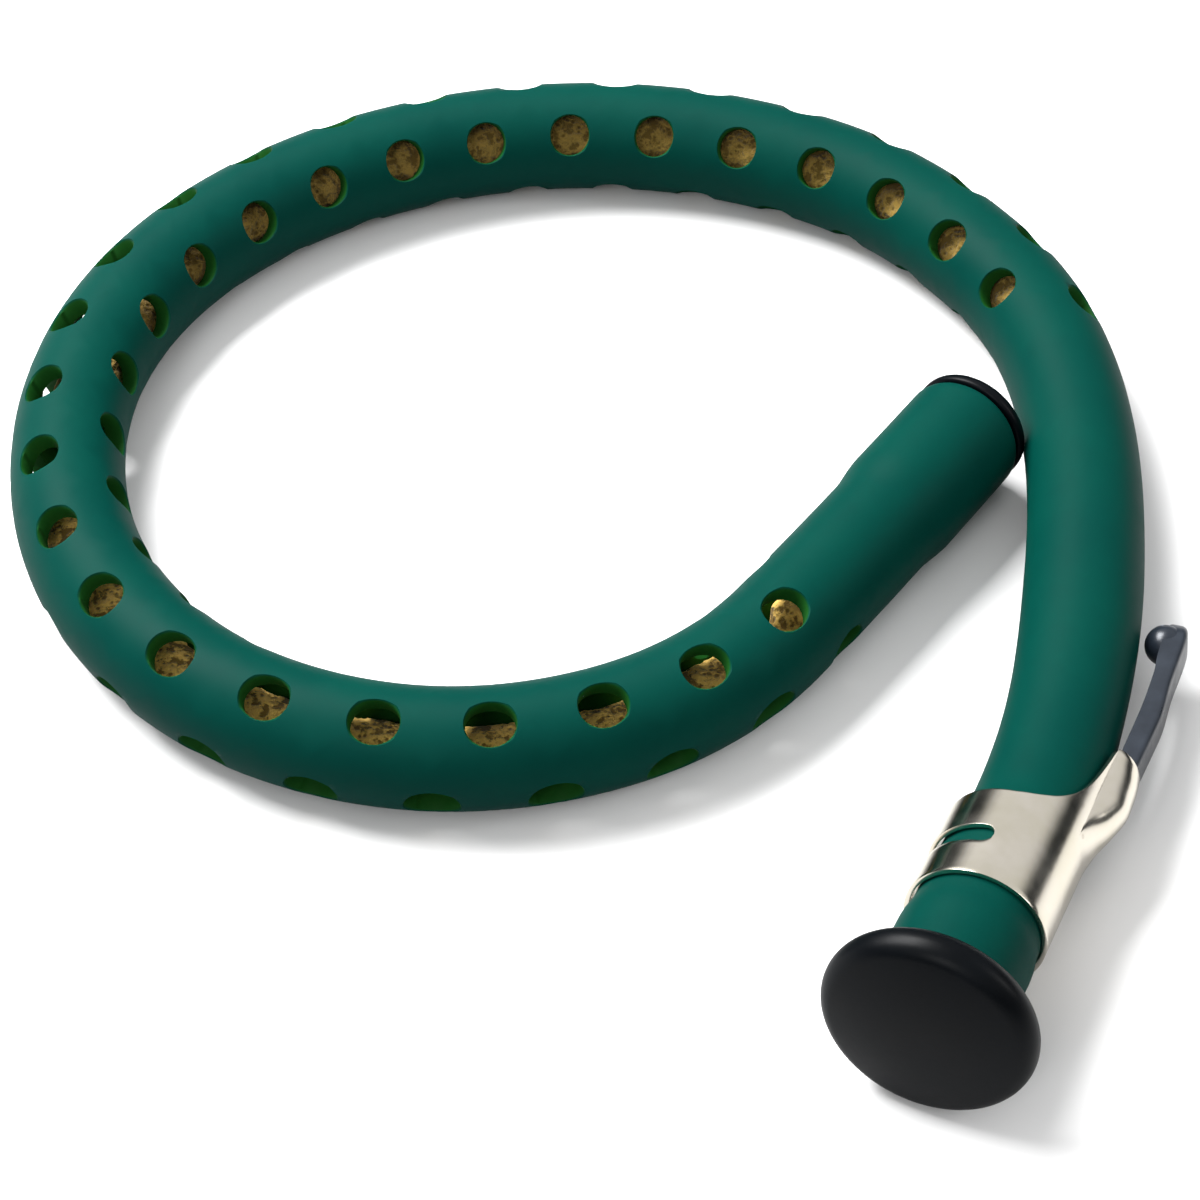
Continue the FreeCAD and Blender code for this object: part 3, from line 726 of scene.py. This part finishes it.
    sample = nodes.add("GeometryNodeSampleCurve", {"Curves": line.outputs["Geometry"], "Length": along}, mode="LENGTH")
    direction = sample.outputs["Tangent"]
    outward = nodes.vector("NORMALIZE", nodes.vector("CROSS_PRODUCT", (0.0, 0.0, 1.0), direction))
    upward = nodes.vector("CROSS_PRODUCT", direction, outward)
    narrow = nodes.math("SUBTRACT", 1.0, nodes.math("MULTIPLY", given["Flattening"],
                                                   nodes.ease(from_head, 30 * MM, 60 * MM)))
    across = nodes.math("MULTIPLY", nodes.math("MULTIPLY", reach, nodes.math("COSINE", angle)), narrow)
    level = nodes.math("MULTIPLY", reach, nodes.math("SINE", angle))
    target = nodes.vector("ADD", sample.outputs["Position"],
                          nodes.vector("ADD", nodes.vector("SCALE", outward, across),
                                       nodes.vector("SCALE", upward, level)))
    # Mask of the painted glow: the walls of the holes and the tube's inside.
    wall_glow_mask = nodes.math("MAXIMUM", nodes.math("MULTIPLY", real, nodes.math("LESS_THAN", ring, 0.53)),
                      nodes.math("SUBTRACT", 1.0, outer))
    marked = nodes.add("GeometryNodeStoreNamedAttribute", {"Geometry": closed.outputs[0], "Name": "cut",
                                                           "Value": wall_glow_mask}, data_type="FLOAT", domain="POINT")
    placed = nodes.add("GeometryNodeSetPosition", {"Geometry": marked.outputs[0], "Position": target})
    smooth = nodes.add("GeometryNodeSetShadeSmooth", {"Geometry": placed.outputs[0], "Shade Smooth": True})
    corner = nodes.add("GeometryNodeInputMeshEdgeAngle").outputs["Unsigned Angle"]
    soft = nodes.add("FunctionNodeCompare", {0: corner, 1: math.radians(48)}, data_type="FLOAT",
                     operation="LESS_THAN").outputs[0]
    creased = nodes.add("GeometryNodeSetShadeSmooth", {"Geometry": smooth.outputs[0], "Shade Smooth": soft},
                        domain="EDGE")
    real_mesh = nodes.add("GeometryNodeRealizeInstances", {"Geometry": creased.outputs[0]})
    dressed = nodes.add("GeometryNodeSetMaterial", {"Geometry": real_mesh.outputs[0], "Material": given["Material"]})
    nodes.add("NodeGroupOutput", {0: dressed.outputs[0]})
    return tree


class HUMIDIFIER_OT_tube(bpy.types.Operator):
    """Make the perforated rubber tube along its route"""

    bl_idname = "humidifier.tube"
    bl_label = "Perforated Tube"

    def execute(self, context):
        settings = context.scene.humidifier_tube
        line = route_curve()
        carrier = add_object("tube_carrier", bpy.data.meshes.new("tube_carrier"))
        modifier = carrier.modifiers.new("Perforated tube", "NODES")
        modifier.node_group = tube_tree()
        values = {
            "Route": line,
            "Radius": settings.diameter / 2,
            "Wall": settings.wall,
            "Flattening": settings.oval,
            "Tail Radius": settings.tail_diameter / 2,
            "Head Radius": settings.head_diameter / 2,
            "Waist Radius": settings.waist_diameter / 2,
            "Hole Radius": settings.hole_diameter / 2,
            "Hole Pitch": settings.hole_pitch,
            "First Hole": settings.first_hole,
            "First Angle": settings.row_angles[0],
            "Middle Angle": settings.row_angles[1],
            "Last Angle": settings.row_angles[2],
            "Hole Rim": settings.rim,
            "End Rim": settings.end_rim,
            "Holes per Row": settings.holes_per_row,
            "Material": rubber_material(settings),
        }
        for item in modifier.node_group.interface.items_tree:
            if item.in_out == "INPUT" and item.name in values:
                modifier[item.identifier] = values[item.name]
        tube = baked(carrier, "rubber_tube")
        bpy.data.objects.remove(line, do_unlink=True)
        if len(tube.data.polygons) < 10000:
            raise RuntimeError("the tube's node tree gave %d faces" % len(tube.data.polygons))
        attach(tube, "tube")
        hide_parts("perforated_tube")
        return {"FINISHED"}


class HUMIDIFIER_OT_sponge(bpy.types.Operator):
    """Make the rough sponge core that lies in the tube"""

    bl_idname = "humidifier.sponge"
    bl_label = "Sponge Core"

    def execute(self, context):
        settings = context.scene.humidifier_sponge
        route = Line(route_stations())
        first, last = 7.6 * MM, route.length - 7.6 * MM
        rings, sides = ((1050, 44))
        half = settings.diameter / 2
        # Where the sponge has worn thin: (station, half length, share of its size that stays).
        thin = [(110 * MM, 9 * MM, 0.42), (30 * MM, 4.5 * MM, 0.6)]
        mesh = bmesh.new()
        grid = []
        for step in range(rings + 1):
            station = first + (last - first) * step / rings
            point, direction, outward, upward = route.at(station)
            full = smooth_step(station, 122 * MM, 150 * MM)
            size = half * (1 + 0.1 * full - 0.1 * noise.noise((station * 160, 3.1, 7.7)))
            for middle, reach, keep in thin:
                near = 1 - smooth_step(abs(station - middle), 0.35 * reach, reach)
                size *= 1 - (1 - keep) * near
            end = min(station - first, last - station)
            size *= 0.55 + 0.45 * smooth_step(end, 0.0, 1.2 * MM)
            sway = 0.25 * MM * noise.noise((station * 70, 9.2, 1.3))
            low = -(3.2 * MM - size) if size < 0.8 * half else -settings.drop * (1 - 0.7 * full)
            ring = []
            for side in range(sides):
                angle = 2 * math.pi * side / sides
                across, height = math.cos(angle), math.sin(angle)
                if height > 0:
                    height *= settings.thickness + (0.92 - settings.thickness) * full
                place = point + outward * (sway + across * size) + upward * (low + height * size)
                coarse = noise.fractal(place * 700, 0.8, 2.0, 3)
                fine = noise.noise(place * 2600)
                bite = 0.11 * min(max(coarse + 0.35, 0.0), 1.2) + 0.07 * abs(fine)
                centre = point + outward * sway + upward * low
                ring.append(mesh.verts.new(place.lerp(centre, min(bite, 0.3))))
            grid.append(ring)
        for lower, upper in zip(grid, grid[1:]):
            for side in range(sides):
                following = (side + 1) % sides
                mesh.faces.new((lower[side], lower[following], upper[following], upper[side]))
        for ring, order in ((grid[0], -1), (grid[-1], 1)):
            middle = mesh.verts.new(sum((vertex.co for vertex in ring), Vector()) / sides)
            for side in range(sides):
                mesh.faces.new((ring[side], ring[(side + 1) % sides], middle)[::order])
        sponge = closed_piece("sponge_rod", mesh, sponge_material(settings))
        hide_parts("sponge_core")
        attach(sponge, "tube")
        return {"FINISHED"}


class HUMIDIFIER_OT_plugs(bpy.types.Operator):
    """Make the mushroom plug in the head end and the domed plug in the tail end"""

    bl_idname = "humidifier.plugs"
    bl_label = "Plugs"

    def execute(self, context):
        settings = context.scene.humidifier_plugs
        material = plug_material(settings)
        self.head(settings, material)
        cap = self.tail(settings, material)
        points = route_stations()[::-1]
        Line(points).length
        return {"FINISHED"}

    def head(self, settings, material):
        rim = settings.head_rim
        centre = settings.head_diameter / 2 - rim
        sweep = math.radians(75)
        edge = (centre + rim * math.cos(sweep), -rim - rim * math.sin(sweep))
        profile = [(0.0, 6.9 * MM), (2.9 * MM, 6.9 * MM), (3.2 * MM, 6.5 * MM), (3.45 * MM, 0.4 * MM),
                   (3.6 * MM, 0.0), (centre * 0.7, 0.0), (centre * 0.93, 0.0)]
        profile += arc_points((centre, -rim), rim, 90, -75, 28)
        for step in range(1, 19):
            share = step / 18
            radius = edge[0] * (1 - share)
            bulge = 1 - (radius / edge[0]) ** 2.3
            profile.append((radius if step < 18 else 0.0, edge[1] - settings.head_crown * bulge))
        plug = lathe("mushroom_plug", profile, HEAD_END, NECK, ARM_SIDE, 112, material)
        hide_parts("head_plug")
        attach(plug, "tube")

    def tail(self, settings, material):
        start, after = Vector(ROUTE[0]), Vector(ROUTE[1])
        inward = (after - start).normalized()
        side = Vector((0, 0, 1)).cross(inward).normalized()
        cap = settings.tail_diameter / 2
        profile = [(0.0, 7.0 * MM), (3.2 * MM, 7.0 * MM), (3.6 * MM, 6.6 * MM), (3.6 * MM, 0.15 * MM)]
        profile += [(cap - 0.3 * MM, 0.1 * MM), (cap - 0.08 * MM, 0.02 * MM), (cap, -0.15 * MM)]
        steps = 22
        for step in range(1, steps + 1):
            angle = math.pi / 2 * step / steps
            radius = cap * math.cos(angle) ** (2 / 2.7) if step < steps else 0.0
            profile.append((radius, -0.15 * MM - (settings.tail_height - 0.15 * MM) * math.sin(angle) ** (2 / 2.7)))
        plug = lathe("tail_plug_cap", profile, start, inward, side, 80, material)
        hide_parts("tail_plug")
        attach(plug, "tube")
        return plug


# Height of the band's upper rim at angles from the arm's side, in degrees and millimetres.
BAND_RIM = [(24, 27.4), (28, 25.4), (32, 23.4), (38, 21.4), (48, 19.6), (60, 18.4), (76, 17.6), (92, 17.3), (180, 17.3)]
# Height of the hood above the band at heights up the neck.
HOOD_RISE = [(17.2, 0.0), (19.4, 0.4), (21.4, 1.12), (23.4, 1.56), (25.4, 1.48), (28.4, 1.12)]
HOOD_HALF_ANGLE = 24.0
SLOT_HALF_ANGLE = 92.0


class HUMIDIFIER_OT_band(bpy.types.Operator):
    """Make the bright band with its slot, swept rim and hood"""

    bl_idname = "humidifier.band"
    bl_label = "Clip Band"

    def execute(self, context):
        settings = context.scene.humidifier_clip
        radius = settings.band_radius
        slot_half = settings.slot_width / 2
        slot_end = (180 - SLOT_HALF_ANGLE) * math.pi / 180 * radius
        columns = []
        hood_steps = 26
        for step in range(hood_steps + 1):
            columns.append(("hood", -90 + 180 * step / hood_steps))
        spans = [(24, 30, 8), (30, 60, 16), (60, 84, 10), (84, 88, 4), (88, 98, 16), (98, 262, 64),
                 (262, 272, 16), (272, 276, 4), (276, 300, 10), (300, 330, 16), (330, 336, 8)]
        for low, high, count in spans:
            for step in range(1, count + 1):
                if (low, step) != (330, 8):
                    columns.append(("ring", low + (high - low) * step / count))
        mesh = bmesh.new()
        rows_low, rows_high = 9, 34
        grid = []
        for kind, value in columns:
            if kind == "hood":
                corner = math.radians(value)
                away = HOOD_HALF_ANGLE
                side = math.copysign(abs(math.sin(corner)) ** 0.95, corner)
                angle = math.radians(HOOD_HALF_ANGLE) * side
                lift = abs(math.cos(corner)) ** 1.15 if abs(value) < 90 else 0.0
                top = (27.3 + 0.3 * abs(side) ** 2) * MM
            else:
                away = min(value, 360 - value)
                angle = math.radians(value)
                lift = 0.0
                top = eased(BAND_RIM, away) * MM
            arc_place = math.radians(away) * radius
            inset = arc_place - slot_end - slot_half
            if arc_place <= slot_end:
                gap = 0.0
            elif inset < 0:
                gap = math.sqrt(max(0.0, slot_half ** 2 - inset ** 2))
            else:
                gap = slot_half
            heights = []
            for row in range(rows_low + 1):
                low, high = settings.band_bottom, settings.slot_height - gap
                heights.append(low + (high - low) * row / rows_low)
            for row in range(rows_high + 1):
                low = settings.slot_height + gap
                heights.append(low + (top - low) * row / rows_high)
            strip = []
            for height in heights:
                rise = eased(HOOD_RISE, height / MM) * MM * lift
                distance = radius * math.cos(angle) + rise
                strip.append(mesh.verts.new(on_clip(distance, radius * math.sin(angle), height)))
            grid.append(strip)
        count = len(grid)
        for index in range(count):
            here, following = grid[index], grid[(index + 1) % count]
            for row in range(len(here) - 1):
                if row == rows_low:
                    continue
                mesh.faces.new((here[row], following[row], following[row + 1], here[row + 1]))
        bmesh.ops.remove_doubles(mesh, verts=mesh.verts, dist=2e-6)
        bmesh.ops.dissolve_degenerate(mesh, edges=mesh.edges, dist=1e-6)
        bmesh.ops.recalc_face_normals(mesh, faces=mesh.faces)
        outside = sum(((face.calc_center_median() - HEAD_END).dot(ARM_SIDE) > 0)
                      == (face.normal.dot(ARM_SIDE) > 0) for face in mesh.faces)
        if outside < len(mesh.faces) / 2:
            bmesh.ops.reverse_faces(mesh, faces=mesh.faces)
        data = bpy.data.meshes.new("band")
        mesh.to_mesh(data)
        mesh.free()
        data.polygons.foreach_set("use_smooth", [True] * len(data.polygons))
        shell = add_object("band_shell", data, plate_material(settings))
        wall = shell.modifiers.new("Sheet", "SOLIDIFY")
        wall.thickness = settings.band_metal
        wall.offset = -1.0
        wall.use_even_offset = True
        edge = shell.modifiers.new("Rim", "BEVEL")
        edge.width = 0.07 * MM
        edge.segments = 2
        edge.limit_method = "ANGLE"
        edge.angle_limit = math.radians(50)
        band = baked(shell, "band_and_hood")
        band.data.set_sharp_from_angle(angle=math.radians(40))
        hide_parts("clip_band")
        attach(band, "clip")
        return {"FINISHED"}


ARM_START, ARM_FINISH = 25.0, 45.3
# Distance of the arm's back and of its feet from the neck's axis, by height, in millimetres.
ARM_BACK = [(25, 6.1), (28, 6.45), (33, 6.5), (38, 6.05), (42, 5.85), (45.3, 5.6)]
ARM_FOOT = [(25, 5.25), (28, 4.85), (33, 4.8), (38, 4.55), (40.5, 4.2), (45.3, 3.9)]


class HUMIDIFIER_OT_arm(bpy.types.Operator):
    """Finish the sprung arm, its ball, the pin and the spring"""

    bl_idname = "humidifier.arm"
    bl_label = "Clip Arm"

    def execute(self, context):
        settings = context.scene.humidifier_clip
        dark = dark_steel_material(settings)
        plain = plain_steel_material()
        for node in ("pivot_pin", "leaf_spring"):
            part = frame["nodes"][node]
            if not part.material_slots:
                part.data.materials.append(plain)
            for slot in part.material_slots:
                slot.material = plain
        self.channel(settings, dark)
        self.ball(dark)
        return {"FINISHED"}

    def channel(self, settings, material):
        """Folded channel with a thick rounded tip."""
        steps, round_steps = 84, 5
        wall, fold = 0.42 * MM, 0.42 * MM          # sheet's thickness, rounding of its folds
        mesh = bmesh.new()
        sections = []
        for step in range(steps + 1):
            share = step / steps
            height = ARM_START + (ARM_FINISH - ARM_START) * (1 - (1 - share) ** 1.6)
            left = ARM_FINISH - height
            tip = math.sqrt(max(0.0, 1 - (1 - min(left / 2.2, 1.0)) ** 2))
            back, foot = eased(ARM_BACK, height), eased(ARM_FOOT, height)
            middle = (back + foot) / 2
            back, foot = middle + (back - middle) * tip, middle + (foot - middle) * tip
            half = settings.arm_width / 2 * (0.9 + 0.1 * smooth_step(height, 34, 41)) * max(tip, 0.04)
            hollow = 1 - smooth_step(height, 38.5, 40.5)
            back, foot = back * MM, foot * MM
            soft = min(fold, 0.45 * (back - foot), 0.6 * half)
            skin = min(wall, 0.45 * half)
            floor_level = foot + max((back - wall - foot) * hollow, 0.02 * MM * tip)
            places = [(foot, -half)]
            for turn in range(round_steps + 1):
                angle = math.pi / 2 * turn / round_steps
                places.append((back - soft + soft * math.sin(angle), -half + soft - soft * math.cos(angle)))
            for turn in range(round_steps + 1):
                angle = math.pi / 2 * turn / round_steps
                places.append((back - soft + soft * math.cos(angle), half - soft + soft * math.sin(angle)))
            places += [(foot, half), (foot, half - skin), (floor_level, half - skin),
                       (floor_level, -half + skin), (foot, -half + skin)]
            sections.append([mesh.verts.new(on_clip(distance, across, height * MM)) for distance, across in places])
        for lower, upper in zip(sections, sections[1:]):
            for index in range(len(lower)):
                following = (index + 1) % len(lower)
                mesh.faces.new((lower[index], lower[following], upper[following], upper[index]))
        mesh.faces.new(sections[0])
        mesh.faces.new(sections[-1][::-1])
        arm = closed_piece("sprung_arm", mesh, material, sharp=math.radians(42))
        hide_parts("clip_arm")
        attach(arm, "arm")

    def ball(self, material):
        """Round grip pressed into the arm's tip."""
        radius = 1.65 * MM
        centre = on_clip(4.05 * MM, 0.0, 43.1 * MM)
        profile = [(0.0, -radius)]
        profile += [(radius * math.cos(angle), radius * math.sin(angle))
                    for angle in (math.pi * (step / 28 - 0.5) for step in range(1, 28))]
        profile.append((0.0, radius))
        ball = lathe("grip", profile, centre, ACROSS, NECK, 48, material)
        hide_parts("grip_ball")
        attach(ball, "arm")


class HUMIDIFIER_OT_stage(bpy.types.Operator):
    """Set up the camera, the pale floor and soft studio light"""

    bl_idname = "humidifier.stage"
    bl_label = "Stage"

    def execute(self, context):
        settings = context.scene.humidifier_stage
        target = Vector((0.00154, -0.0035, 0.0))
        elevation = settings.camera_elevation
        back = Vector((0, -math.cos(elevation), math.sin(elevation)))
        data = bpy.data.cameras.new("Camera")
        data.sensor_width = 36.0
        data.lens = settings.camera_lens
        data.clip_start = 0.01
        data.clip_end = 20.0
        camera = bpy.data.objects.new("Camera", data)
        camera.location = target + back * settings.camera_distance
        camera.rotation_euler = (math.pi / 2 - elevation, 0, 0)
        context.scene.collection.objects.link(camera)
        context.scene.camera = camera

        mesh = bpy.data.meshes.new("floor")
        reach = 2.5
        mesh.from_pydata([(-reach, -reach, 0), (reach, -reach, 0), (reach, reach, 0), (-reach, reach, 0)], [],
                         [(0, 1, 2, 3)])
        floor = add_object("floor", mesh, floor_material(settings))

        # Name, place, spot it points at, width, height and power.
        self.lamp("key_panel", (-0.28, 0.2, 0.46), (0.0, 0.01, 0.0), 0.42, 0.3, 9.0)
        self.lamp("fill_panel", (0.5, -0.05, 0.3), (0.0, 0.0, 0.0), 0.12, 0.3, 0.5)
        self.lamp("front_panel", (-0.25, -0.6, 0.5), (0.0, 0.0, 0.0), 0.2, 0.3, 1.2)

        world = bpy.data.worlds.new("Studio surroundings")
        world.use_nodes = True
        world.node_tree.nodes.clear()
        nodes = Nodes(world.node_tree)
        place = nodes.add("ShaderNodeTexCoord")
        parts = nodes.add("ShaderNodeSeparateXYZ", {0: place.outputs["Generated"]}).outputs
        height = nodes.ease(parts[2], 0.22, 0.5)
        colour = mix_colour(nodes, height, (0.012, 0.016, 0.02, 1.0), (1.0, 1.0, 1.0, 1.0))
        sky = nodes.add("ShaderNodeBackground", {"Color": colour, "Strength": settings.sky_strength})
        output = nodes.add("ShaderNodeOutputWorld")
        nodes.tree.links.new(sky.outputs[0], output.inputs["Surface"])
        context.scene.world = world
        context.scene.view_settings.view_transform = "Standard"
        return {"FINISHED"}

    def lamp(self, name, place, target, width, height, power):
        data = bpy.data.lights.new(name, "AREA")
        data.shape = "RECTANGLE"
        data.size = width
        data.size_y = height
        data.energy = power
        lamp = bpy.data.objects.new(name, data)
        lamp.location = place
        lamp.rotation_euler = (Vector(target) - Vector(place)).to_track_quat("-Z", "Y").to_euler()
        bpy.context.scene.collection.objects.link(lamp)


class HUMIDIFIER_PT_panel(bpy.types.Panel):
    """Lists the steps that make the humidifier"""

    bl_idname = "HUMIDIFIER_PT_panel"
    bl_label = "Tube Humidifier"
    bl_space_type = "VIEW_3D"
    bl_region_type = "UI"
    bl_category = "Humidifier"

    def draw(self, context):
        layout = self.layout
        for settings, operator in STEPS:
            box = layout.box()
            box.operator(operator)
            group = getattr(context.scene, settings)
            for name in group.bl_rna.properties.keys():
                if name not in ("rna_type", "name"):
                    box.prop(group, name)


STEPS = [
    ("humidifier_stage", "humidifier.stage"),
    ("humidifier_tube", "humidifier.tube"),
    ("humidifier_sponge", "humidifier.sponge"),
    ("humidifier_plugs", "humidifier.plugs"),
    ("humidifier_clip", "humidifier.band"),
    ("humidifier_clip", "humidifier.arm"),
]
GROUPS = {
    "humidifier_stage": HumidifierStageSettings,
    "humidifier_tube": HumidifierTubeSettings,
    "humidifier_sponge": HumidifierSpongeSettings,
    "humidifier_plugs": HumidifierPlugSettings,
    "humidifier_clip": HumidifierClipSettings,
}
CLASSES = list(GROUPS.values()) + [
    HUMIDIFIER_OT_stage,
    HUMIDIFIER_OT_tube,
    HUMIDIFIER_OT_sponge,
    HUMIDIFIER_OT_plugs,
    HUMIDIFIER_OT_band,
    HUMIDIFIER_OT_arm,
    HUMIDIFIER_PT_panel,
]


def register():
    for item in CLASSES:
        bpy.utils.register_class(item)
    for name, group in GROUPS.items():
        setattr(bpy.types.Scene, name, PointerProperty(type=group))


def unregister():
    for name in GROUPS:
        delattr(bpy.types.Scene, name)
    for item in reversed(CLASSES):
        bpy.utils.unregister_class(item)


def main():
    register()
    bpy.ops.humidifier.stage()
    bpy.ops.humidifier.tube()
    bpy.ops.humidifier.sponge()
    bpy.ops.humidifier.plugs()
    bpy.ops.humidifier.band()
    bpy.ops.humidifier.arm()


if __name__ == "__main__":
    main()
